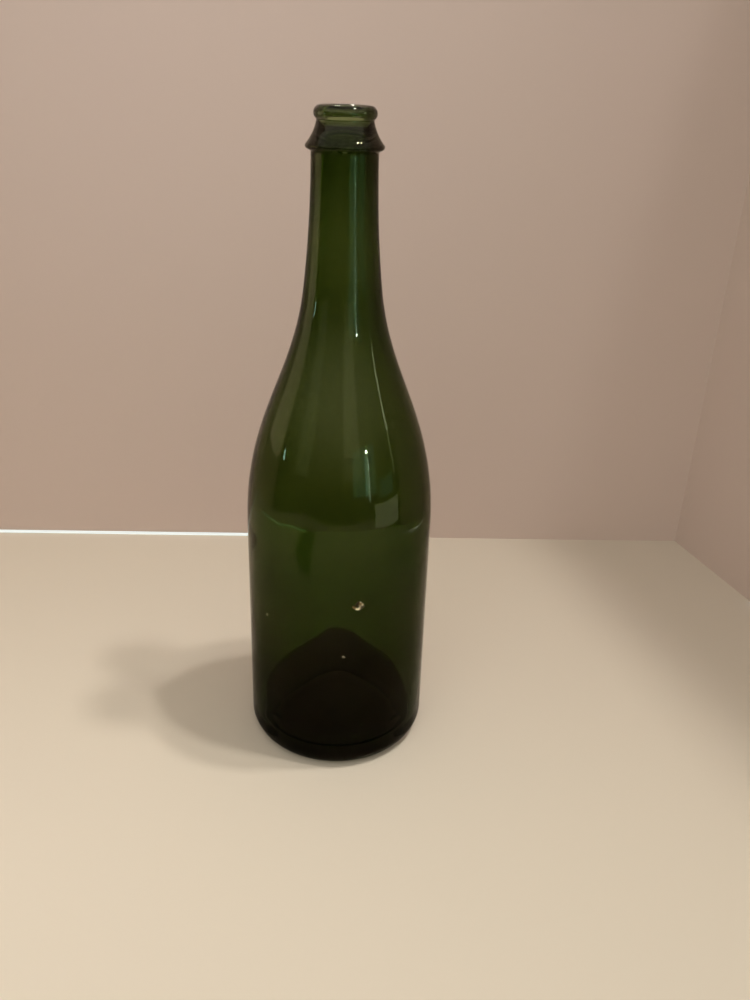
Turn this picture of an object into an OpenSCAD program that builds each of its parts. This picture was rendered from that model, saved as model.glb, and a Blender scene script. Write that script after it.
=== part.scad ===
// Antique sparkling-wine bottle in dark olive glass.
// The body, shoulder, neck and deep punt are one blown piece. Two rings of hot
// glass are laid round the cracked-off end of the neck and tooled to shape: a
// flared collar, which holds the wire or string, and a rounded lip above it.
// Millimetres, +Z up, origin on the axis in the plane of the standing ring.

/* [Body] */
// Height from the table to the top of the lip
total_h = 300; // [285:1:320]
// Outside diameter just above the heel
heel_d = 89.2; // [84:0.2:94]
// Outside diameter where the shoulder begins
shoulder_d = 88.4; // [84:0.2:94]
// Height at which the shoulder begins
shoulder_h = 118; // [105:1:130]
// Thickness of the body wall where the shoulder begins
wall_t = 4; // [3:0.1:4.8]
// Thickness of the body wall at the heel, where the glass settled
heel_wall_t = 5.4; // [4:0.1:6]
// How far the heel turns in to the standing ring
heel_w = 7.4; // [6:0.1:9]
// Height of the heel curve
heel_h = 9.5; // [8:0.5:14]

/* [Shoulder and neck] */
// Height at which the neck begins
neck_base_h = 227; // [215:1:240]
// Outside diameter at the base of the neck
neck_base_d = 34.4; // [31:0.2:38]
// Outside diameter of the neck under the collar
neck_d = 27.8; // [26:0.1:29.5]
// Glass thickness at the base of the neck
neck_wall_t = 4.2; // [3:0.1:5]
// Fullness of the shoulder: how far the wall's line runs on before it turns in
shoulder_fullness = 51; // [35:1:60]
// Length over which the shoulder eases into the neck
neck_ease = 39; // [25:1:50]
// How much fuller the inside runs than the outside, which thins the blown shoulder
shoulder_thinning = 3; // [0:0.5:4]

/* [Bore] */
// Diameter of the straight bore that takes the cork
bore_d = 17.5; // [16:0.1:18.4]
// Depth of the foot of the straight bore below the top of the lip
bore_depth = 22; // [18:0.5:30]
// Rounding of the bore's upper edge
mouth_round = 1.15; // [0.8:0.05:1.3]

/* [Base] */
// Width of the flat ring that the bottle stands on
ring_w = 2.5; // [1.5:0.1:4]
// Rounding of the standing ring's inner edge
ring_round = 2.5; // [1:0.1:3.5]
// Height of the hollow under the base, from the table to its crown
punt_h = 44; // [34:0.5:50]
// Radius of the crown of that hollow
punt_crown_r = 9.5; // [7:0.5:13]
// Slope of the hollow's flank from the horizontal, in degrees
punt_slope = 46; // [42:1:49]
// Radius where the flank turns down to the standing ring
punt_knee_r = 10; // [6:0.5:13]
// Glass thickness at the crown of the punt
crown_t = 6.6; // [4.5:0.1:8]
// Slope of the inside of the punt, in degrees
floor_slope = 43.5; // [40:0.5:46]
// Radius where the inside of the punt turns down to the wall
floor_knee_r = 5.5; // [3:0.5:8]
// Radius of the groove between the punt and the wall
groove_r = 1; // [0.8:0.1:1.6]
// Glass thickness under that groove
groove_t = 10.5; // [9:0.5:12.5]

/* [Applied finish] */
// Outside diameter of the rounded lip
lip_d = 25.8; // [24.8:0.1:26.4]
// Diameter of the waist where the lip meets the collar
waist_d = 23.4; // [22.6:0.1:24]
// Depth of the waist below the top of the lip
waist_drop = 5.8; // [5.4:0.1:6.4]
// Radius of the waist's upper curve
waist_round = 1; // [0.6:0.1:1.2]
// Angle at which the lip leaves the waist, from the vertical
waist_angle = 50; // [45:1:55]
// Largest diameter of the flared collar
collar_d = 32.4; // [31:0.1:33.5]
// Radius of the collar's edge
collar_edge_r = 1.4; // [1:0.1:1.7]
// Flare of the collar at its top, from the vertical
flare_top = 12; // [6:1:16]
// Flare of the collar just above its edge, from the vertical
flare_foot = 40; // [36:1:44]
// Droop of the collar's underside towards the neck, from the horizontal
underside_droop = 29; // [20:1:35]

/* [Neck end inside the finish] */
// Thickness of the neck's cracked-off end
neck_end_t = 1.45; // [1.3:0.05:1.7]
// Height over which the neck draws in to that thin end
draw_in_h = 4.5; // [3:0.5:6]

/* [Smoothness] */
// Straight steps in each large curve
curve_steps = 28; // [16:1:40]
// Straight steps in each small rounding
round_steps = 8; // [5:1:12]

/* [Hidden] */
glass_colour = [0.17, 0.21, 0.07];
$fn = 96;

heel_r = heel_d / 2;
shoulder_r = shoulder_d / 2;
neck_base_r = neck_base_d / 2;
neck_r = neck_d / 2;
bore_r = bore_d / 2;
lip_r = lip_d / 2;
waist_r = waist_d / 2;

// The bore widens from its straight foot down to the base of the neck.
bore_foot_h = total_h - bore_depth;
neck_bore_r = neck_base_r - neck_wall_t;

// Crown of the lip, and where the neck's end takes over from the lip on it.
crown_r = bore_r + mouth_round;
lip_round = lip_r - crown_r;
neck_end_r = bore_r + neck_end_t;
join_angle = acos((neck_end_r - crown_r) / lip_round);

// Waist, flare and edge of the collar.
waist_h = total_h - waist_drop;
edge_r = collar_d / 2 - collar_edge_r;
flare_r = (edge_r + collar_edge_r * cos(flare_foot) - waist_r) / (cos(flare_top) - cos(flare_foot));
flare_foot_h = waist_h - flare_r * (sin(flare_foot) - sin(flare_top));
edge_h = flare_foot_h - collar_edge_r * sin(flare_foot);
edge_turn = 90 - underside_droop;
collar_foot_h = edge_h - collar_edge_r * sin(edge_turn)
    - (edge_r + collar_edge_r * cos(edge_turn) - neck_r) * tan(underside_droop);
draw_in_top_h = collar_foot_h + draw_in_h;

// The neck's outline is a shallow arc that comes upright under the collar.
neck_arc_r = (pow(collar_foot_h - neck_base_h, 2) + pow(neck_base_r - neck_r, 2))
    / (2 * (neck_base_r - neck_r));
neck_arc_turn = asin((collar_foot_h - neck_base_h) / neck_arc_r);

// Standing ring and punt.
ring_outer_r = heel_r - heel_w;
ring_inner_r = ring_outer_r - ring_w;
punt_foot_r = ring_inner_r - ring_round;
inner_heel_r = heel_r - heel_wall_t;
floor_foot_r = inner_heel_r - 2 * groove_r;
groove_h = groove_t + groove_r;

// Points along an arc about a centre, from one angle to another.
function arc(centre, radius, from, to, steps) =
    [for (i = [0:steps]) let (a = from + (to - from) * i / steps)
        centre + radius * [cos(a), sin(a)]];

// Points along a cubic curve with two end points and two handles.
function curve(start, lead, ease, end, steps) =
    [for (i = [0:steps]) let (t = i / steps, u = 1 - t)
        u * u * u * start + 3 * u * u * t * lead + 3 * u * t * t * ease + t * t * t * end];

// Drops a point that repeats the one before it.
function tidy(points) =
    [for (i = [0:len(points) - 1]) if (i == 0 || norm(points[i] - points[i - 1]) > 0.001) points[i]];

function reversed(points) = [for (i = [len(points) - 1:-1:0]) points[i]];

// Half outline of one side of the punt, from its crown out to its foot: a round
// crown, a straight flank and a knee that turns straight down.
function punt_line(top_h, top_r, slope, knee_r, foot_r, foot_h) =
    let (
        flank_r = top_r * sin(slope),
        flank_h = top_h - top_r * (1 - cos(slope)),
        knee_in_r = foot_r - knee_r * (1 - sin(slope)),
        knee_centre = [
            foot_r - knee_r,
            flank_h - (knee_in_r - flank_r) * tan(slope) - knee_r * cos(slope)
        ]
    )
    concat(
        arc([0, top_h - top_r], top_r, 90, 90 - slope, round_steps),
        arc(knee_centre, knee_r, 90 - slope, 0, round_steps),
        [[foot_r, foot_h]]
    );

// Heel: a quarter ellipse from the standing ring up to the wall.
function heel_line() =
    [for (i = [0:round_steps]) let (a = 90 * i / round_steps)
        [heel_r - heel_w * (1 - sin(a)), heel_h * (1 - cos(a))]];

// One long S from the wall to the neck. The handle at the neck follows its lean.
function shoulder_line(wall_r, end_r, lean, fuller) =
    curve(
        [wall_r, shoulder_h],
        [wall_r, shoulder_h + shoulder_fullness + fuller],
        [end_r + (neck_ease - fuller) * lean, neck_base_h - neck_ease + fuller],
        [end_r, neck_base_h],
        curve_steps
    );

function outside_line() = concat(
    heel_line(),
    shoulder_line(shoulder_r, neck_base_r, tan(neck_arc_turn), 0),
    arc([neck_r + neck_arc_r, collar_foot_h], neck_arc_r, 180 + neck_arc_turn, 180, curve_steps),
    neck_seat(),
    arc([crown_r, total_h - lip_round], lip_round, join_angle, 90, round_steps)
);

function inside_line() = concat(
    arc([crown_r, total_h - mouth_round], mouth_round, 90, 180, round_steps),
    [[bore_r, bore_foot_h]],
    reversed(shoulder_line(shoulder_r - wall_t, neck_bore_r,
        (neck_bore_r - bore_r) / (bore_foot_h - neck_base_h), shoulder_thinning)),
    arc([inner_heel_r - groove_r, groove_h], groove_r, 0, -180, round_steps),
    reversed(punt_line(punt_h + crown_t, punt_crown_r + crown_t, floor_slope,
        floor_knee_r, floor_foot_r, groove_h))
);

function underside_line() = concat(
    punt_line(punt_h, punt_crown_r, punt_slope, punt_knee_r, punt_foot_r, ring_round),
    arc([ring_inner_r, ring_round], ring_round, 180, 270, round_steps)
);

// Where the neck's end passes inside the collar and the lip. All three pieces
// take their seat from these points.
function collar_seat() = [
    [neck_r, collar_foot_h],
    [neck_end_r, draw_in_top_h],
    [neck_end_r, waist_h]
];

function lip_seat() = [
    [neck_end_r, waist_h],
    [neck_end_r, total_h - lip_round * (1 - sin(join_angle))]
];

function neck_seat() = concat(collar_seat(), lip_seat());

// Blown piece: heel, wall, shoulder, neck and punt in one.
module blown_body() {
    color(glass_colour)
    rotate_extrude()
        polygon(tidy(concat(outside_line(), inside_line(), underside_line())));
}

// Ring of glass laid round the neck and tooled to a concave flare.
module collar_band() {
    flare_centre = [
        waist_r + flare_r * cos(flare_top),
        waist_h + flare_r * sin(flare_top)
    ];
    color(glass_colour)
    rotate_extrude()
        polygon(tidy(concat(
            collar_seat(),
            arc(flare_centre, flare_r, 180 + flare_top, 180 + flare_foot, round_steps),
            arc([edge_r, edge_h], collar_edge_r, flare_foot, -edge_turn, round_steps)
        )));
}

// Ring of glass laid above the collar and tooled to a round lip.
module lip_band() {
    under_r = (lip_r - waist_r) / (1 - cos(waist_angle)) - waist_round;
    under_h = waist_h + (waist_round + under_r) * sin(waist_angle);
    color(glass_colour)
    rotate_extrude()
        polygon(tidy(concat(
            reversed(lip_seat()),
            arc([waist_r + waist_round, waist_h], waist_round, 180, 180 - waist_angle, round_steps),
            arc([lip_r - under_r, under_h], under_r, -waist_angle, 0, round_steps),
            arc([crown_r, total_h - lip_round], lip_round, 0, join_angle, round_steps)
        )));
}

blown_body();
collar_band();
lip_band();
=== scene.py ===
import math

import bpy
from mathutils import Matrix, Vector


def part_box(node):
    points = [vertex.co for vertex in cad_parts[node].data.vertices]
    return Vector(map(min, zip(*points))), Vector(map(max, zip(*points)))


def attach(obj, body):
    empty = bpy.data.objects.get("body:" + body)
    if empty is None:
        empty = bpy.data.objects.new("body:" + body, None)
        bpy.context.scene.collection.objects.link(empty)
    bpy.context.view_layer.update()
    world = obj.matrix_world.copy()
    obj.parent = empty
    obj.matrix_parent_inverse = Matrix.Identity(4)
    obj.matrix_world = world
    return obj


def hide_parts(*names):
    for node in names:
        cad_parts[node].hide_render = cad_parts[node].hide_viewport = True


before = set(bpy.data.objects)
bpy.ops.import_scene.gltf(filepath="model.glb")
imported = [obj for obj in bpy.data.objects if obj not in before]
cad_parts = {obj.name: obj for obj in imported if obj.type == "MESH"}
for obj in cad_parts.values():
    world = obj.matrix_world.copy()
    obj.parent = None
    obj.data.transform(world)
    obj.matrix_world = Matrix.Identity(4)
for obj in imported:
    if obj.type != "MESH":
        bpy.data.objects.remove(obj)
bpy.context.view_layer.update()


# The glass. Heel, wall, shoulder, neck and punt were blown in one piece; the collar and
# the lip are rings of the same dark olive glass laid round the neck and fused to it. This
# piece is their one unbroken skin, outside and in, closed at the crown of the punt.
_, body_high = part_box("blown_body")
_, collar_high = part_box("collar_band")
lip_low, lip_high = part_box("lip_band")
bottle_height = body_high.z
heel_radius = body_high.x
collar_radius = collar_high.x
waist_height = lip_low.z
lip_radius = lip_high.x

shoulder_radius = 0.0442
shoulder_height = 0.118
wall_thickness = 0.004
heel_wall_thickness = 0.0054
heel_width = 0.0074
heel_height = 0.0095
neck_base_height = 0.227
neck_base_radius = 0.0172
neck_radius = 0.0139
neck_wall = 0.0042
shoulder_fullness = 0.051
neck_ease = 0.039
shoulder_thinning = 0.003
wall_swell = 0.0011
swell_top = 0.096
swell_foot = 0.050
bore_radius = 0.00875
bore_depth = 0.022
bore_blend = 0.006
mouth_rounding = 0.00115

ring_width = 0.0025
ring_rounding = 0.0025
punt_height = 0.044
punt_crown_radius = 0.0095
punt_slope = math.radians(46)
punt_knee_radius = 0.010
crown_thickness = 0.0066
floor_slope = math.radians(43.5)
floor_knee_radius = 0.0055
groove_radius = 0.001
groove_thickness = 0.0105

waist_radius = 0.0117
waist_rounding = 0.001
waist_angle = math.radians(50)
collar_edge_radius = 0.0014
flare_top = math.radians(12)
flare_foot = math.radians(40)
underside_droop = math.radians(29)
collar_fillet = 0.0006

# How many steps cut each long stretch of the outline.
heel_steps = 18
wall_steps = 44
shoulder_steps = 56
neck_steps = 26
inner_shoulder_steps = 52
inner_neck_steps = 22
flank_steps = 18


def arc(centre, radius, start, end, steps):
    """Points of a round stretch of the outline, as (distance from the axis, height)."""
    turns = [start + (end - start) * i / steps for i in range(steps + 1)]
    return [(centre[0] + radius * math.cos(a), centre[1] + radius * math.sin(a)) for a in turns]


def sweep(start, leave, arrive, end, steps):
    """Points of a long curve with two ends and a handle at each."""
    points = []
    for i in range(steps + 1):
        t = i / steps
        u = 1 - t
        weights = (u * u * u, 3 * u * u * t, 3 * u * t * t, t * t * t)
        places = (start, leave, arrive, end)
        points.append(tuple(sum(w * p[k] for w, p in zip(weights, places)) for k in (0, 1)))
    return points


def run(start, end, steps):
    """Points of a straight stretch."""
    return sweep(start, start, end, end, steps)


def punt_line(top, crown, slope, knee, foot_radius, foot_height):
    """One side of the punt: round crown, straight flank, knee, and down to its foot."""
    flank_radius = crown * math.sin(slope)
    flank_height = top - crown * (1 - math.cos(slope))
    knee_inner = foot_radius - knee * (1 - math.sin(slope))
    flank_drop = (knee_inner - flank_radius) * math.tan(slope)
    knee_centre = (foot_radius - knee, flank_height - flank_drop - knee * math.cos(slope))
    flank_foot = (knee_inner, flank_height - flank_drop)
    flank = run((flank_radius, flank_height), flank_foot, flank_steps)
    return (
        arc((0, top - crown), crown, math.pi / 2, math.pi / 2 - slope, 10)
        + flank
        + arc(knee_centre, knee, math.pi / 2 - slope, 0, 10)
        + run((foot_radius, knee_centre[1]), (foot_radius, foot_height), 4)
    )


def shoulder_line(wall_radius, end_radius, lean, fuller, steps):
    """The long S from the wall to the neck; it reaches the neck at the neck's own lean."""
    easing = neck_ease - fuller
    return sweep(
        (wall_radius, shoulder_height),
        (wall_radius, shoulder_height + shoulder_fullness + fuller),
        (end_radius + easing * lean, neck_base_height - easing),
        (end_radius, neck_base_height),
        steps,
    )


ring_outer = heel_radius - heel_width
ring_inner = ring_outer - ring_width
punt_foot = ring_inner - ring_rounding
inner_heel = heel_radius - heel_wall_thickness
neck_bore = neck_base_radius - neck_wall
bore_foot = bottle_height - bore_depth
bore_lean = (neck_bore - bore_radius) / (bore_foot - neck_base_height)
crown_radius = bore_radius + mouth_rounding
lip_rounding = lip_radius - crown_radius

edge_centre_r = collar_radius - collar_edge_radius
flare_reach = edge_centre_r + collar_edge_radius * math.cos(flare_foot) - waist_radius
flare_radius = flare_reach / (math.cos(flare_top) - math.cos(flare_foot))
flare_foot_height = waist_height - flare_radius * (math.sin(flare_foot) - math.sin(flare_top))
edge_centre_z = flare_foot_height - collar_edge_radius * math.sin(flare_foot)
edge_turn = math.pi / 2 - underside_droop
under_start = (
    edge_centre_r + collar_edge_radius * math.cos(edge_turn),
    edge_centre_z - collar_edge_radius * math.sin(edge_turn),
)
collar_foot = under_start[1] - (under_start[0] - neck_radius) * math.tan(underside_droop)
neck_rise = collar_foot - neck_base_height
neck_taper = neck_base_radius - neck_radius
neck_arc_radius = (neck_rise**2 + neck_taper**2) / (2 * neck_taper)
neck_arc_turn = math.asin(neck_rise / neck_arc_radius)
lip_under_radius = (lip_radius - waist_radius) / (1 - math.cos(waist_angle)) - waist_rounding
lip_under_z = waist_height + (waist_rounding + lip_under_radius) * math.sin(waist_angle)

foot_line = punt_line(
    punt_height, punt_crown_radius, punt_slope, punt_knee_radius, punt_foot, ring_rounding
)
foot_line += arc((ring_inner, ring_rounding), ring_rounding, math.pi, 1.5 * math.pi, 8)
heel_line = [
    (heel_radius - heel_width * (1 - math.sin(a)), heel_height * (1 - math.cos(a)))
    for a in (math.pi / 2 * i / heel_steps for i in range(heel_steps + 1))
]
fillet_drop = collar_foot - collar_fillet
outside_line = (
    heel_line
    + run((heel_radius, heel_height), (shoulder_radius, shoulder_height), wall_steps)
    + shoulder_line(
        shoulder_radius, neck_base_radius, math.tan(neck_arc_turn), 0, shoulder_steps
    )
    + arc(
        (neck_radius + neck_arc_radius, collar_foot), neck_arc_radius,
        math.pi + neck_arc_turn, math.pi + collar_fillet / neck_arc_radius, neck_steps,
    )
    + sweep(
        (neck_radius, fillet_drop), (neck_radius, collar_foot),
        (neck_radius, collar_foot),
        (neck_radius + collar_fillet * math.cos(underside_droop),
         collar_foot + collar_fillet * math.sin(underside_droop)), 5,
    )
    + arc((edge_centre_r, edge_centre_z), collar_edge_radius, -edge_turn, flare_foot, 14)
    + arc(
        (waist_radius + flare_radius * math.cos(flare_top),
         waist_height + flare_radius * math.sin(flare_top)),
        flare_radius, math.pi + flare_foot, math.pi + flare_top, 16,
    )
    + arc(
        (waist_radius + waist_rounding, waist_height),
        waist_rounding, math.pi, math.pi - waist_angle, 7,
    )
    + arc((lip_radius - lip_under_radius, lip_under_z), lip_under_radius, -waist_angle, 0, 9)
    + arc((crown_radius, bottle_height - lip_rounding), lip_rounding, 0, math.pi / 2, 14)
)
inside_line = (
    arc((crown_radius, bottle_height - mouth_rounding), mouth_rounding, math.pi / 2, math.pi, 8)
    + run((bore_radius, bottle_height - mouth_rounding), (bore_radius, bore_foot + bore_blend), 8)
    + sweep(
        (bore_radius, bore_foot + bore_blend), (bore_radius, bore_foot),
        (bore_radius, bore_foot), (bore_radius + bore_lean * bore_blend, bore_foot - bore_blend), 6,
    )
    + run((bore_radius + bore_lean * bore_blend, bore_foot - bore_blend),
          (neck_bore, neck_base_height), inner_neck_steps)
    + shoulder_line(
        shoulder_radius - wall_thickness, neck_bore, bore_lean, shoulder_thinning,
        inner_shoulder_steps,
    )[::-1]
    + sweep(
        (shoulder_radius - wall_thickness, shoulder_height),
        (shoulder_radius - wall_thickness - wall_swell, swell_top),
        (inner_heel - wall_swell, swell_foot),
        (inner_heel, groove_thickness + groove_radius), wall_steps,
    )
    + arc((inner_heel - groove_radius, groove_thickness + groove_radius), groove_radius,
          0, -math.pi, 12)
    + punt_line(
        punt_height + crown_thickness, punt_crown_radius + crown_thickness, floor_slope,
        floor_knee_radius, inner_heel - 2 * groove_radius, groove_thickness + groove_radius,
    )[::-1]
)


def ease(value, low, high):
    """0 below low, 1 above high, and a smooth rise between them."""
    t = min(1.0, max(0.0, (value - low) / (high - low)))
    return t * t * (3 - 2 * t)


# Hot glass wanders where it was blown and not where it was tooled or stands.
heel_still = 0.012
heel_free = 0.035
neck_free = 0.268
neck_still = 0.282
crown_free = 0.01
doubled_gap = 2e-5
outline = []
for line, inside in ((foot_line, 0.0), (outside_line, 0.0), (inside_line, 1.0)):
    for radius, height in line:
        if outline and math.dist(outline[-1][:2], (radius, height)) < doubled_gap:
            continue
        loose = ease(height, heel_still, heel_free) * (1 - ease(height, neck_free, neck_still))
        loose *= ease(radius, 0, crown_free)
        outline.append((max(radius, 0.0), height, inside, loose))

outline_mesh = bpy.data.meshes.new("bottle_glass")
outline_mesh.from_pydata(
    [(radius, 0, height) for radius, height, _, _ in outline],
    [(i, i + 1) for i in range(len(outline) - 1)],
    [],
)
for name, column in (("inside", 2), ("loose", 3)):
    layer = outline_mesh.attributes.new(name, "FLOAT", "POINT")
    layer.data.foreach_set("value", [point[column] for point in outline])
bottle_glass = bpy.data.objects.new("bottle_glass", outline_mesh)
bpy.context.scene.collection.objects.link(bottle_glass)


def new_tree(name, inputs):
    """A Geometry Nodes tree with these named inputs, its own geometry first."""
    tree = bpy.data.node_groups.new(name, "GeometryNodeTree")
    tree.interface.new_socket("Geometry", in_out="INPUT", socket_type="NodeSocketGeometry")
    for label, kind in inputs:
        tree.interface.new_socket(label, in_out="INPUT", socket_type="NodeSocket" + kind)
    tree.interface.new_socket("Geometry", in_out="OUTPUT", socket_type="NodeSocketGeometry")
    return tree


def node(tree, kind, *feeds, **settings):
    """Adds a node, sets its properties and feeds its inputs in order; None leaves one alone."""
    made = tree.nodes.new(kind)
    for key, value in settings.items():
        setattr(made, key, value)
    for socket, feed in zip(made.inputs, feeds):
        give(tree, socket, feed)
    return made


def give(tree, socket, feed):
    """Links a socket to another node's output, or sets its value."""
    if isinstance(feed, bpy.types.NodeSocket):
        tree.links.new(feed, socket)
    elif feed is not None:
        socket.default_value = feed


def reckon(tree, operation, *feeds):
    """One arithmetic step between sockets or numbers; its result socket."""
    return node(tree, "ShaderNodeMath", *feeds, operation=operation).outputs[0]


def settle(piece, tree, values):
    """Runs the tree on the piece with these inputs and keeps the result as a plain mesh."""
    work = piece.modifiers.new("make", "NODES")
    work.node_group = tree
    names = {s.name: s.identifier for s in tree.interface.items_tree if s.in_out == "INPUT"}
    for label, value in values.items():
        work[names[label]] = value
    shape = bpy.data.meshes.new_from_object(
        piece.evaluated_get(bpy.context.evaluated_depsgraph_get())
    )
    piece.modifiers.remove(work)
    piece.data = shape


def finish_piece(piece):
    """Every piece of the bottle rides on its one rigid body."""
    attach(piece, "root")


turn_tree = new_tree(
    "turn the outline",
    [
        ("Segments", "Int"), ("Outside wander", "Float"), ("Outside ripple", "Float"),
        ("Inside wander", "Float"), ("Seed", "Float"), ("Material", "Material"),
    ],
)
begin = turn_tree.nodes.new("NodeGroupInput").outputs
rows = node(turn_tree, "GeometryNodeAttributeDomainSize", begin["Geometry"]).outputs["Point Count"]
columns = reckon(turn_tree, "ADD", begin["Segments"], 1)
grid = node(turn_tree, "GeometryNodeMeshGrid", 1.0, 1.0, rows, columns).outputs["Mesh"]
spot = node(turn_tree, "GeometryNodeInputPosition").outputs[0]
spot_x, spot_y, _ = node(turn_tree, "ShaderNodeSeparateXYZ", spot).outputs
row = reckon(
    turn_tree, "MULTIPLY",
    reckon(turn_tree, "ADD", spot_x, 0.5),
    reckon(turn_tree, "SUBTRACT", rows, 1),
)
row = node(turn_tree, "FunctionNodeFloatToInt", row, rounding_mode="ROUND").outputs[0]
bearing = reckon(turn_tree, "MULTIPLY", spot_y, -2 * math.pi)


def outline_value(data_type, source):
    """A value of the outline at this row."""
    sampled = node(turn_tree, "GeometryNodeSampleIndex", data_type=data_type, domain="POINT")
    give(turn_tree, sampled.inputs["Geometry"], begin["Geometry"])
    give(turn_tree, sampled.inputs["Value"], source)
    give(turn_tree, sampled.inputs["Index"], row)
    return sampled.outputs[0]


place = outline_value("FLOAT_VECTOR", spot)
reach, _, height = node(turn_tree, "ShaderNodeSeparateXYZ", place).outputs
inside, loose = (
    outline_value(
        "FLOAT", node(turn_tree, "GeometryNodeInputNamedAttribute", name, data_type="FLOAT").outputs[0]
    )
    for name in ("inside", "loose")
)
across = reckon(turn_tree, "SINE", bearing)
along = reckon(turn_tree, "MULTIPLY", reckon(turn_tree, "COSINE", bearing), -1)


body_girth = 0.04


def wander(scale, stretch, shift):
    """A smooth random swing between about -1 and 1 round a plain tube as wide as the body."""
    where = node(
        turn_tree, "ShaderNodeCombineXYZ",
        reckon(turn_tree, "MULTIPLY", across, body_girth),
        reckon(turn_tree, "MULTIPLY", along, body_girth),
        reckon(turn_tree, "MULTIPLY", height, stretch),
    ).outputs[0]
    noise = node(turn_tree, "ShaderNodeTexNoise", noise_dimensions="4D")
    give(turn_tree, noise.inputs["Vector"], where)
    give(turn_tree, noise.inputs["W"], reckon(turn_tree, "ADD", begin["Seed"], shift))
    noise.inputs["Scale"].default_value = scale
    noise.inputs["Detail"].default_value = 1.0
    # The noise keeps mostly between a quarter and three quarters, so this doubles its swing.
    return reckon(turn_tree, "MULTIPLY_ADD", noise.outputs[0], 4, -2)


outside_swing = reckon(
    turn_tree, "ADD",
    reckon(
        turn_tree, "MULTIPLY",
        wander(scale=26.0, stretch=0.6, shift=0.0), begin["Outside wander"],
    ),
    reckon(
        turn_tree, "MULTIPLY",
        wander(scale=90.0, stretch=0.5, shift=3.0), begin["Outside ripple"],
    ),
)
inside_swing = reckon(
    turn_tree, "MULTIPLY",
    wander(scale=34.0, stretch=0.5, shift=7.0), begin["Inside wander"],
)
# The mix's sockets 0, 2 and 3 are its factor and its two numbers.
swing = node(turn_tree, "ShaderNodeMix", data_type="FLOAT")
give(turn_tree, swing.inputs[0], inside)
give(turn_tree, swing.inputs[2], outside_swing)
give(turn_tree, swing.inputs[3], inside_swing)
radius = reckon(turn_tree, "ADD", reach, reckon(turn_tree, "MULTIPLY", swing.outputs[0], loose))
skin_place = node(
    turn_tree, "ShaderNodeCombineXYZ",
    reckon(turn_tree, "MULTIPLY", radius, across),
    reckon(turn_tree, "MULTIPLY", radius, along),
    height,
).outputs[0]
skin = node(turn_tree, "GeometryNodeSetPosition", grid, None, skin_place).outputs[0]
welded = node(turn_tree, "GeometryNodeMergeByDistance", skin)
welded.inputs["Distance"].default_value = 1e-5
skin = node(turn_tree, "GeometryNodeSetShadeSmooth", welded.outputs[0]).outputs[0]
skin = node(turn_tree, "GeometryNodeRealizeInstances", skin).outputs[0]
skin = node(turn_tree, "GeometryNodeSetMaterial", skin, None, begin["Material"]).outputs[0]
node(turn_tree, "NodeGroupOutput", skin)

# Iron-dark olive glass: it drinks the blue first, and what light gets through is green-brown.
glass = bpy.data.materials.new("olive_glass")
glass.use_nodes = True
glass_nodes = glass.node_tree
shader = glass_nodes.nodes["Principled BSDF"]
shader.inputs["Base Color"].default_value = (1, 1, 1, 1)
shader.inputs["Transmission Weight"].default_value = 1.0
shader.inputs["IOR"].default_value = 1.52
shader.inputs["Thin Film Thickness"].default_value = 1.0
shader.inputs["Thin Film IOR"].default_value = 1.52
# Handling has smeared the skin a little, and the ring it stands on is worn matt.
where = glass_nodes.nodes.new("ShaderNodeTexCoord").outputs["Object"]
smear = glass_nodes.nodes.new("ShaderNodeTexNoise")
smear.inputs["Scale"].default_value = 38.0
smear.inputs["Detail"].default_value = 5.0
glass_nodes.links.new(where, smear.inputs["Vector"])
dulling = glass_nodes.nodes.new("ShaderNodeMapRange")
dulling.inputs["From Min"].default_value = 0.45
dulling.inputs["From Max"].default_value = 0.75
dulling.inputs["To Min"].default_value = 0.002
dulling.inputs["To Max"].default_value = 0.012
glass_nodes.links.new(smear.outputs["Fac"], dulling.inputs["Value"])
skin_spot = glass_nodes.nodes.new("ShaderNodeSeparateXYZ")
glass_nodes.links.new(where, skin_spot.inputs[0])
worn = glass_nodes.nodes.new("ShaderNodeMapRange")
worn.inputs["From Min"].default_value = 0.0002
worn.inputs["From Max"].default_value = 0.0012
worn.inputs["To Min"].default_value = 0.08
worn.inputs["To Max"].default_value = 0.0
glass_nodes.links.new(skin_spot.outputs["Z"], worn.inputs["Value"])
roughness = glass_nodes.nodes.new("ShaderNodeMath")
roughness.operation = "MAXIMUM"
glass_nodes.links.new(dulling.outputs["Result"], roughness.inputs[0])
glass_nodes.links.new(worn.outputs["Result"], roughness.inputs[1])
glass_nodes.links.new(roughness.outputs[0], shader.inputs["Roughness"])
# The skin's mirror is set by height, weakest at the foot and strongest on the tooled finish, which
# darkens the reflections low on the bottle: painted shade, not age.
tall = glass_nodes.nodes.new("ShaderNodeMapRange")
tall.inputs["From Max"].default_value = bottle_height
glass_nodes.links.new(skin_spot.outputs["Z"], tall.inputs["Value"])
mirror = glass_nodes.nodes.new("ShaderNodeValToRGB")
mirror.color_ramp.elements[0].color = (0.07, 0.055, 0.04, 1)
mirror.color_ramp.elements[1].color = (0.82, 0.77, 0.73, 1)
for level, shade in (
    (0.20, (0.18, 0.15, 0.085)), (0.28, (0.31, 0.285, 0.165)), (0.34, (0.34, 0.325, 0.20)),
    (0.44, (0.41, 0.39, 0.28)), (0.60, (0.38, 0.36, 0.30)), (0.88, (0.37, 0.35, 0.29)),
    (0.93, (0.38, 0.36, 0.23)), (0.955, (0.62, 0.59, 0.46)),
):
    mirror.color_ramp.elements.new(level).color = (*shade, 1)
glass_nodes.links.new(tall.outputs["Result"], mirror.inputs["Fac"])
glass_nodes.links.new(mirror.outputs["Color"], shader.inputs["Specular Tint"])
drink = glass_nodes.nodes.new("ShaderNodeVolumeAbsorption")
drink.inputs["Color"].default_value = (0.415, 0.52, 0.148, 1)
drink.inputs["Density"].default_value = 615
glass_nodes.links.new(
    drink.outputs[0], glass_nodes.nodes["Material Output"].inputs["Volume"]
)

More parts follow.
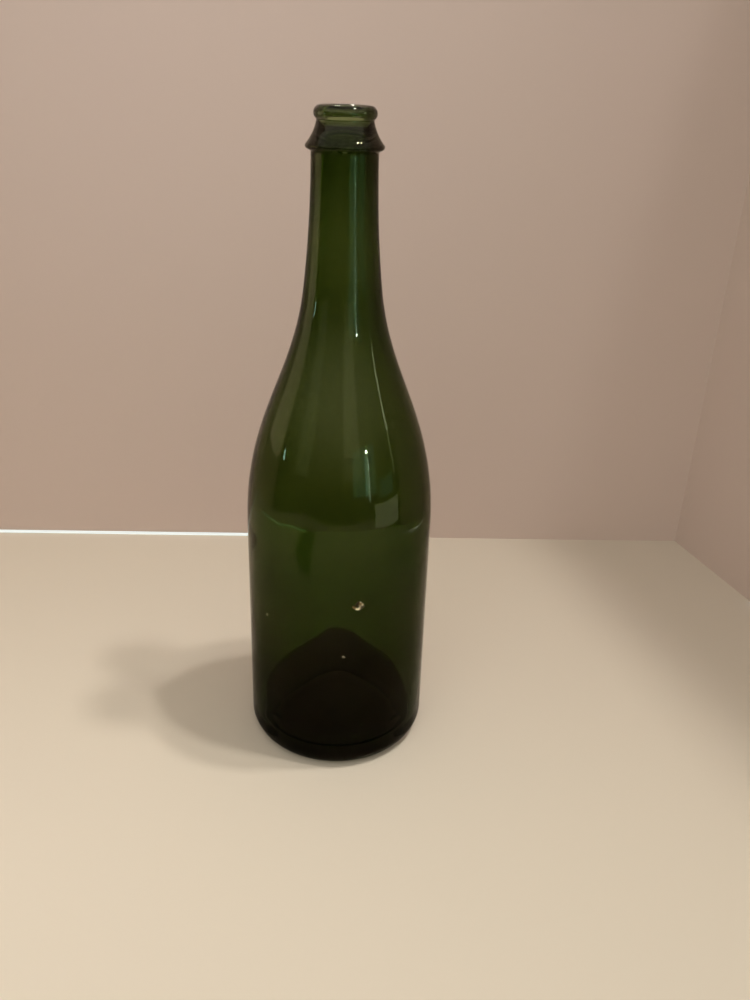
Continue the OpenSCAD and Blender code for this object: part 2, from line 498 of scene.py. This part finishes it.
settle(bottle_glass, turn_tree, {
    "Segments": 192, "Outside wander": 0.00006, "Outside ripple": 0.00001,
    "Inside wander": 0.00022, "Seed": 4.0, "Material": glass,
})
finish_piece(bottle_glass)
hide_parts("blown_body", "collar_band", "lip_band")


# Stones in the glass: bits of batch that never melted. One broke the skin on the right of
# the front as a hooked cream fleck, two more show as white dots, and a few fine grains lie
# scattered over the body.
def skin_radius(height):
    """Distance of the outer skin from the axis at a height on the body."""
    for (r1, z1), (r2, z2) in zip(outside_line, outside_line[1:]):
        if z1 <= height <= z2 and z2 > z1:
            return r1 + (r2 - r1) * (height - z1) / (z2 - z1)
    return heel_radius


def on_skin(bearing_deg, height, lift=0.0):
    """A place on the outer skin; bearing 0 faces the viewer and + is to the right."""
    a = math.radians(bearing_deg)
    r = skin_radius(height) + lift
    return (r * math.sin(a), -r * math.cos(a), height)


# Each stone: bearing, height, half its width in mm, and how dark it is: brown where the glass soaked
# into it, and painted shadow of the hollow along the upper-left edge and on the right of the hook.
hook_line = [
    (13.1, 0.0957, 0.75, 0.0), (13.8, 0.0952, 0.75, 0.0), (14.6, 0.0949, 0.6, 0.0),
    (12.7, 0.0947, 0.6, 0.4), (13.4, 0.0944, 0.6, 0.45), (12.9, 0.0937, 0.65, 0.35),
    (12.6, 0.0930, 0.6, 0.1), (12.3, 0.0925, 0.58, 0.0),
    (11.6, 0.0925, 0.5, 0.0), (10.9, 0.0928, 0.52, 0.0), (10.2, 0.0932, 0.55, 0.0),
    (9.6, 0.0936, 0.55, 0.0), (9.1, 0.0940, 0.5, 0.0), (12.2, 0.0966, 0.5, 1.0),
    (11.6, 0.0959, 0.55, 1.0), (11.1, 0.0951, 0.6, 1.0), (11.1, 0.0942, 0.55, 1.0),
    (15.2, 0.0940, 0.45, 0.9), (14.5, 0.0934, 0.55, 0.9), (13.7, 0.0928, 0.5, 0.9),
]
dot_line = [(3.6, 0.0672, 0.4, 0.0), (4.4, 0.0668, 0.28, 0.4), (-48.7, 0.0805, 0.36, 0.0),
            (-48.7, 0.0798, 0.36, 0.2)]
stone_mesh = bpy.data.meshes.new("stone_fleck")
stone_mesh.from_pydata([on_skin(b, z) for b, z, _, _ in hook_line + dot_line], [], [])
grain = stone_mesh.attributes.new("grain", "FLOAT", "POINT")
grain.data.foreach_set("value", [size * 0.001 for _, _, size, _ in hook_line + dot_line])
stain_and_shade = stone_mesh.attributes.new("stain_and_shade", "FLOAT", "POINT")
stain_and_shade.data.foreach_set("value", [darkening for _, _, _, darkening in hook_line + dot_line])
stone_fleck = bpy.data.objects.new("stone_fleck", stone_mesh)
bpy.context.scene.collection.objects.link(stone_fleck)

stone_tree = new_tree(
    "set stones in the skin",
    [
        ("Skin", "Object"), ("Grains per m2", "Float"), ("Lowest", "Float"), ("Highest", "Float"),
        ("Smallest", "Float"), ("Largest", "Float"), ("Flatness", "Float"), ("Crumble", "Float"),
        ("Seed", "Int"), ("Material", "Material"),
    ],
)
begin = stone_tree.nodes.new("NodeGroupInput").outputs
spot = node(stone_tree, "GeometryNodeInputPosition").outputs[0]
spot_x, spot_y, spot_z = node(stone_tree, "ShaderNodeSeparateXYZ", spot).outputs
outward = node(stone_tree, "ShaderNodeCombineXYZ", spot_x, spot_y, 0.0).outputs[0]
skin = node(stone_tree, "GeometryNodeObjectInfo", begin["Skin"]).outputs["Geometry"]
normal = node(stone_tree, "GeometryNodeInputNormal").outputs[0]
facing_out = node(stone_tree, "ShaderNodeVectorMath", normal, outward, operation="DOT_PRODUCT")
facing_limit = 0.02
on_body = reckon(
    stone_tree, "MULTIPLY",
    reckon(stone_tree, "GREATER_THAN", spot_z, begin["Lowest"]),
    reckon(stone_tree, "LESS_THAN", spot_z, begin["Highest"]),
)
on_outer_skin = reckon(stone_tree, "GREATER_THAN", facing_out.outputs["Value"], facing_limit)
on_body = reckon(stone_tree, "MULTIPLY", on_outer_skin, on_body)
scatter = node(stone_tree, "GeometryNodeDistributePointsOnFaces", skin, on_body)
give(stone_tree, scatter.inputs["Density"], begin["Grains per m2"])
give(stone_tree, scatter.inputs["Seed"], begin["Seed"])
chance = node(stone_tree, "FunctionNodeRandomValue", data_type="FLOAT")
for socket in chance.inputs:
    if socket.enabled and socket.name in ("Min", "Max", "Seed"):
        give(stone_tree, socket, begin[{"Min": "Smallest", "Max": "Largest"}.get(socket.name, "Seed")])
chance_value = [out for out in chance.outputs if out.enabled][0]
sized = node(
    stone_tree, "GeometryNodeStoreNamedAttribute", scatter.outputs["Points"],
    data_type="FLOAT", domain="POINT",
)
give(stone_tree, sized.inputs["Name"], "grain")
give(stone_tree, sized.inputs["Value"], chance_value)
placed = node(stone_tree, "GeometryNodeMeshToPoints", begin["Geometry"]).outputs[0]
joined = stone_tree.nodes.new("GeometryNodeJoinGeometry")
stone_tree.links.new(placed, joined.inputs[0])
stone_tree.links.new(sized.outputs[0], joined.inputs[0])
pebble = node(stone_tree, "GeometryNodeMeshIcoSphere", 1.0, 3).outputs["Mesh"]
size = node(stone_tree, "GeometryNodeInputNamedAttribute", "grain", data_type="FLOAT").outputs[0]
turned = node(
    stone_tree, "FunctionNodeAlignRotationToVector", None, None, outward, axis="Y", pivot_axis="Z"
).outputs[0]
shape = node(
    stone_tree, "ShaderNodeCombineXYZ", size,
    reckon(stone_tree, "MULTIPLY", size, begin["Flatness"]), size,
).outputs[0]
stones = node(stone_tree, "GeometryNodeInstanceOnPoints", joined.outputs[0], None, pebble)
give(stone_tree, stones.inputs["Rotation"], turned)
give(stone_tree, stones.inputs["Scale"], shape)
stones = node(stone_tree, "GeometryNodeRealizeInstances", stones.outputs[0]).outputs[0]
lumps = node(stone_tree, "ShaderNodeTexNoise", spot, noise_dimensions="3D")
lumps.inputs["Scale"].default_value = 1400.0
lumps.inputs["Detail"].default_value = 3.0
push = node(stone_tree, "ShaderNodeVectorMath", normal, operation="SCALE")
lump_middle = 0.5
lump_height = reckon(stone_tree, "SUBTRACT", lumps.outputs[0], lump_middle)
give(
    stone_tree, push.inputs["Scale"],
    reckon(stone_tree, "MULTIPLY", lump_height, begin["Crumble"]),
)
stones = node(stone_tree, "GeometryNodeSetPosition", stones, None, None, push.outputs[0]).outputs[0]
stones = node(stone_tree, "GeometryNodeSetMaterial", stones, None, begin["Material"]).outputs[0]
node(stone_tree, "NodeGroupOutput", stones)

# Chalky cream where the grain stands clear. The stone's darkening mixes it towards near black: brown
# where the glass has soaked into it, and painted shadow along the edges of the hook.
stone = bpy.data.materials.new("unmelted_stone")
stone.use_nodes = True
stone_nodes = stone.node_tree
chalk = stone_nodes.nodes["Principled BSDF"]
chalk.inputs["Roughness"].default_value = 0.8
chalk.inputs["Specular IOR Level"].default_value = 0.1
where = stone_nodes.nodes.new("ShaderNodeTexCoord").outputs["Object"]
speckle = stone_nodes.nodes.new("ShaderNodeTexNoise")
speckle.inputs["Scale"].default_value = 520.0
speckle.inputs["Detail"].default_value = 4.0
stone_nodes.links.new(where, speckle.inputs["Vector"])
shades = stone_nodes.nodes.new("ShaderNodeValToRGB")
shades.color_ramp.elements[0].position = 0.44
shades.color_ramp.elements[0].color = (0.16, 0.09, 0.03, 1)
shades.color_ramp.elements[1].position = 0.56
shades.color_ramp.elements[1].color = (0.70, 0.62, 0.44, 1)
stone_nodes.links.new(speckle.outputs["Fac"], shades.inputs["Fac"])
# Near black at full darkening is painted shadow of the hollow round the fleck; partial darkening is
# the real brown staining.
stain_and_shade_input = stone_nodes.nodes.new("ShaderNodeAttribute")
stain_and_shade_input.attribute_name = "stain_and_shade"
# The mix's sockets 6 and 7 are its two colours, and its output 2 is their blend.
stained_and_shaded = stone_nodes.nodes.new("ShaderNodeMix")
stained_and_shaded.data_type = "RGBA"
stained_and_shaded.inputs[7].default_value = (0.02, 0.011, 0.004, 1)
stone_nodes.links.new(stain_and_shade_input.outputs["Fac"], stained_and_shaded.inputs[0])
stone_nodes.links.new(shades.outputs["Color"], stained_and_shaded.inputs[6])
stone_nodes.links.new(stained_and_shaded.outputs[2], chalk.inputs["Base Color"])

settle(stone_fleck, stone_tree, {
    "Skin": bottle_glass, "Grains per m2": 900.0, "Lowest": 0.02, "Highest": 0.15,
    "Smallest": 0.00007, "Largest": 0.00017, "Flatness": 0.3, "Crumble": 0.0010,
    "Seed": 11, "Material": stone,
})
finish_piece(stone_fleck)


# A curved pale hairline on the right of the shoulder, drawn as a dull whitish strip: partly worn
# glass, and partly a painted highlight, the light that a thin ridge there catches. It lies on the skin
# of the glass.
# Each place on it: bearing and height.
scuff_line = [(42.5, 0.1276), (46, 0.1268), (50, 0.1264), (54, 0.1264), (58, 0.1267),
              (61, 0.1273), (63.5, 0.1285)]
scuff_half_width = 0.00032
scuff_tip = 0.00001
scuff_lift = 0.0001
scuff_steps = 48
scuff_points = []
scuff_faces = []
for i in range(scuff_steps + 1):
    along_line = i / scuff_steps * (len(scuff_line) - 1)
    k = min(int(along_line), len(scuff_line) - 2)
    t = along_line - k
    bearing_here = scuff_line[k][0] * (1 - t) + scuff_line[k + 1][0] * t
    height_here = scuff_line[k][1] * (1 - t) + scuff_line[k + 1][1] * t
    half = scuff_half_width * math.sin(math.pi * i / scuff_steps) ** 0.5 + scuff_tip
    scuff_points.append(on_skin(bearing_here, height_here - half, scuff_lift))
    scuff_points.append(on_skin(bearing_here, height_here + half, scuff_lift))
    if i:
        scuff_faces.append((2 * i - 2, 2 * i, 2 * i + 1, 2 * i - 1))
scuff_mesh = bpy.data.meshes.new("scuff")
scuff_mesh.from_pydata(scuff_points, [], scuff_faces)
scuff = bpy.data.objects.new("scuff", scuff_mesh)
bpy.context.scene.collection.objects.link(scuff)
# The strip's whitish colour is a painted highlight on the ridge as well as wear.
rubbed_and_highlight = bpy.data.materials.new("scuff_and_highlight_glass")
rubbed_and_highlight.use_nodes = True
rubbed_nodes = rubbed_and_highlight.node_tree
dull = rubbed_nodes.nodes["Principled BSDF"]
dull.inputs["Base Color"].default_value = (0.42, 0.45, 0.33, 1)
dull.inputs["Roughness"].default_value = 0.7
dull.inputs["Specular IOR Level"].default_value = 0.2
where = rubbed_nodes.nodes.new("ShaderNodeTexCoord").outputs["Object"]
coverage_noise = rubbed_nodes.nodes.new("ShaderNodeTexNoise")
coverage_noise.inputs["Scale"].default_value = 700.0
rubbed_nodes.links.new(where, coverage_noise.inputs["Vector"])
cover = rubbed_nodes.nodes.new("ShaderNodeMapRange")
cover.inputs["From Min"].default_value = 0.3
cover.inputs["From Max"].default_value = 0.7
cover.inputs["To Min"].default_value = 0.10
cover.inputs["To Max"].default_value = 0.50
rubbed_nodes.links.new(coverage_noise.outputs["Fac"], cover.inputs["Value"])
rubbed_nodes.links.new(cover.outputs["Result"], dull.inputs["Alpha"])
scuff_mesh.materials.append(rubbed_and_highlight)
finish_piece(scuff)


# The stage: a plain pale table against a plain pale wall, with a second wall that meets it
# in a corner on the right. Two small lamps high on the right throw the shadow and a wide one
# softens it. The window, the doorway and the far panels show only in the mirror of the glass.
def plain_sheet(name, corners, colour):
    """One flat sheet of the stage, in one colour, seen from its front only."""
    sheet_mesh = bpy.data.meshes.new(name)
    sheet_mesh.from_pydata(corners, [], [(0, 1, 2, 3)])
    sheet = bpy.data.objects.new(name, sheet_mesh)
    bpy.context.scene.collection.objects.link(sheet)
    paint = bpy.data.materials.new(name)
    paint.use_nodes = True
    tree = paint.node_tree
    base = tree.nodes["Principled BSDF"]
    base.inputs["Base Color"].default_value = colour
    base.inputs["Roughness"].default_value = 0.9
    base.inputs["Specular IOR Level"].default_value = 0.1
    facing = tree.nodes.new("ShaderNodeNewGeometry")
    clear = tree.nodes.new("ShaderNodeBsdfTransparent")
    either = tree.nodes.new("ShaderNodeMixShader")
    tree.links.new(facing.outputs["Backfacing"], either.inputs[0])
    tree.links.new(base.outputs[0], either.inputs[1])
    tree.links.new(clear.outputs[0], either.inputs[2])
    tree.links.new(either.outputs[0], tree.nodes["Material Output"].inputs["Surface"])
    sheet_mesh.materials.append(paint)
    return sheet


def upright_sheet(name, left, right, foot, top, colour):
    """A wall that faces the viewer who sees `left` on the left and `right` on the right."""
    corners = [(*left, foot), (*right, foot), (*right, top), (*left, top)]
    return plain_sheet(name, corners, colour)


table_left = -0.5
table_right = 0.36
table_front = -0.54
wall_line = 0.201
wall_corner = (0.2565, wall_line)
wall_right_end = (0.3306, -0.0886)
wall_left_end = (table_left, -0.061)
wall_top = 0.75
side_wall_top = 0.6
plain_sheet(
    "table",
    [
        (table_left, table_front, 0), (table_right, table_front, 0),
        (table_right, wall_line, 0), (table_left, wall_line, 0),
    ],
    (0.67, 0.60, 0.52, 1),
)
for name, left, right, top, colour in (
    ("wall", (-1.2, wall_line), wall_corner, wall_top, (0.65, 0.53, 0.50, 1)),
    ("wall_right", wall_corner, wall_right_end, side_wall_top, (0.65, 0.54, 0.51, 1)),
    ("wall_left", wall_left_end, (table_left, wall_line), side_wall_top, (0.74, 0.61, 0.50, 1)),
):
    upright_sheet(name, left, right, 0, top, colour)

# A dark case that lies on the table to the left; it is seen only as a smudge in the glass.
case_top = 0.008
dark_case = plain_sheet(
    "dark_case",
    [(-0.31, -0.33, case_top), (-0.18, -0.38, case_top), (-0.115, -0.18, case_top),
     (-0.19, -0.15, case_top)],
    (0.01, 0.01, 0.01, 1),
)
dark_case.visible_camera = False
dark_case.visible_shadow = False
dark_case.visible_diffuse = False

# Daylight shows as a thin bright line under the wall and under its neighbour.
for name, left, right, top in (
    ("gap_line", (-0.7, 0.2005), (-0.03, 0.2005), 0.0022),
    ("gap_line_right", (0.2780, 0.1145), (0.3301, -0.0886), 0.0035),
):
    strip = upright_sheet(name, left, right, 0, top, (0.8, 0.85, 0.9, 1))
    daylight = strip.data.materials[0].node_tree.nodes["Principled BSDF"]
    daylight.inputs["Emission Color"].default_value = (0.75, 0.92, 1.0, 1)
    daylight.inputs["Emission Strength"].default_value = 0.45

# The room: dim around, with its light coming down from the ceiling.
world = bpy.data.worlds.new("room")
bpy.context.scene.world = world
world.use_nodes = True
room = world.node_tree
direction = room.nodes.new("ShaderNodeTexCoord")
rise = room.nodes.new("ShaderNodeSeparateXYZ")
room.links.new(direction.outputs["Generated"], rise.inputs[0])
ceiling_glow = room.nodes.new("ShaderNodeValToRGB")
ceiling_glow.color_ramp.elements.remove(ceiling_glow.color_ramp.elements[1])
ceiling_glow.color_ramp.elements[0].position = 0.0
ceiling_glow.color_ramp.elements[0].color = (0.02, 0.02, 0.01, 1)
for level, shade in (
    (0.09, (0.14, 0.13, 0.07)), (0.17, (0.28, 0.27, 0.16)), (0.26, (0.55, 0.53, 0.34)),
    (0.34, (0.80, 0.78, 0.54)), (0.46, (1.05, 1.0, 0.76)), (0.60, (0.88, 0.84, 0.70)),
    (0.75, (0.50, 0.47, 0.42)),
):
    ceiling_glow.color_ramp.elements.new(level).color = (*shade, 1)
room.links.new(rise.outputs["Z"], ceiling_glow.inputs["Fac"])
room.links.new(ceiling_glow.outputs["Color"], room.nodes["Background"].inputs["Color"])


def lamp(name, place, aim, size, glow, colour, lights_table=False):
    """A flat lamp of this width and height that shines from a place towards an aim."""
    made = bpy.data.lights.new(name, "AREA")
    made.shape = "RECTANGLE"
    made.size, made.size_y = size
    made.energy = glow * math.pi * size[0] * size[1]
    made.color = colour
    held = bpy.data.objects.new(name, made)
    bpy.context.scene.collection.objects.link(held)
    held.location = place
    held.rotation_euler = (Vector(place) - Vector(aim)).to_track_quat("Z", "Y").to_euler()
    held.visible_camera = False
    held.visible_diffuse = lights_table
    return held


def bearing_place(bearing_deg, distance, height):
    """A place round the bottle: bearing 0 is towards the camera, + to its right."""
    a = math.radians(bearing_deg)
    return (distance * math.sin(a), -distance * math.cos(a), height)


# What lights the table and the walls.
table_aim = (-0.16, -0.12, 0)
narrow_spread = math.radians(50)
for name, place in (("key_near", (0.488, -0.187, 1.49)), ("key_far", (0.486, -0.025, 1.505))):
    key = lamp(name, place, table_aim, (0.08, 0.08), 23, (1.0, 0.95, 0.85), True)
    key.data.spread = narrow_spread
fill = lamp("fill", (-0.25, -0.9, 1.35), (-0.05, 0.2, 0.5), (0.9, 0.9), 1.60, (1.0, 0.98, 0.92), True)
wall_wash = lamp(
    "wall_wash", (-0.12, -0.7, 0.2), (-0.12, 0.2, 0.5), (0.2, 0.2), 1.1, (1.0, 0.97, 0.95), True
)
wall_wash.data.spread = narrow_spread
wall_wash.data.use_shadow = False
for soft_lamp in (fill, wall_wash):
    soft_lamp.visible_glossy = False
    soft_lamp.visible_transmission = False

# What the body, the shoulder and the neck mirror: name, bearing, distance, height, width and
# height of the panel, its glow and its colour.
bottle_middle = (0, 0, 0.2)
for name, bearing_deg, distance, height, size, glow, colour in (
    ("doorway", 15.5, 2.4, 0.85, (0.97, 1.10), 0.45, (0.95, 1.0, 0.6)),
    ("doorway_top", 15.5, 2.4, 1.05, (0.97, 0.70), 0.4, (1.0, 1.0, 0.6)),
    ("far_room", -50, 2.4, 0.72, (0.85, 0.95), 0.4, (0.9, 1.0, 0.6)),
    ("teal_panel", 31, 2.4, 0.38, (1.30, 0.78), 0.75, (0.35, 1.0, 0.75)),
    ("teal_side", 59, 2.4, 0.03, (0.80, 0.30), 0.6, (0.4, 1.0, 0.7)),
    ("window", 33.5, 2.35, 0.32, (0.15, 0.66), 2.4, (0.5, 1.0, 0.85)),
    ("window_edge", 36.6, 2.3, 0.26, (0.04, 0.84), 12, (0.7, 1.0, 0.95)),
    ("window_top", 35.2, 2.25, 0.67, (0.07, 0.06), 150, (0.8, 1.0, 1.0)),
    ("left_gap", -79, 1.7, 0.255, (0.09, 0.11), 12, (0.5, 0.95, 1.0)),
    ("right_gap", 72.6, 1.5, 0.58, (0.06, 0.20), 9, (0.85, 1.0, 0.72)),
    ("right_low", 72.2, 1.5, 0.30, (0.05, 0.34), 1.6, (0.9, 1.0, 0.6)),
):
    lamp(name, bearing_place(bearing_deg, distance, height), bottle_middle, size, glow, colour)
lamp("left_wall", (-0.47, 0.07, 0.27), bottle_middle, (0.26, 0.24), 1.1, (1.0, 0.93, 0.58))
lamp("side_light", (0.288, -0.198, 0.064), (0.02, -0.037, 0.10), (0.19, 0.066), 1.6, (0.95, 1.0, 0.75))

# What the collar and the lip mirror: two warm bulbs, and one small light above the wall.
collar_middle = (0, 0, 0.29)
mouth_middle = (0, 0, 0.3)
lamp("bulb_near", (0.665, -0.346, 1.59), collar_middle, (0.07, 0.07), 230, (1.0, 0.80, 0.55))
lamp("bulb_far", (0.817, -0.189, 1.53), collar_middle, (0.07, 0.07), 200, (1.0, 0.72, 0.44))
lamp("lip_spark", (-0.028, 0.188, 0.508), mouth_middle, (0.022, 0.022), 70, (1.0, 0.97, 0.92))

# The camera stands a little above the mouth and looks down on the bottle, slightly rolled.
camera_distance = 0.3778
camera_height = 0.3076
camera = bpy.data.objects.new("camera", bpy.data.cameras.new("camera"))
bpy.context.scene.collection.objects.link(camera)
bpy.context.scene.camera = camera
pitch, yaw, roll = math.radians(25.53), math.radians(2.58), math.radians(1.98)
forward = Vector((math.sin(yaw) * math.cos(pitch), math.cos(yaw) * math.cos(pitch), -math.sin(pitch)))
level_right = Vector((math.cos(yaw), -math.sin(yaw), 0))
level_up = level_right.cross(forward)
camera_right = level_right * math.cos(roll) + level_up * math.sin(roll)
camera_up = level_up * math.cos(roll) - level_right * math.sin(roll)
camera.matrix_world = Matrix((
    (camera_right.x, camera_up.x, -forward.x, 0.0),
    (camera_right.y, camera_up.y, -forward.y, -camera_distance),
    (camera_right.z, camera_up.z, -forward.z, camera_height),
    (0.0, 0.0, 0.0, 1.0),
))
camera.data.sensor_width = 36
camera.data.lens = 31.32
camera.data.clip_start = 0.01
bpy.context.scene.view_settings.view_transform = "Standard"
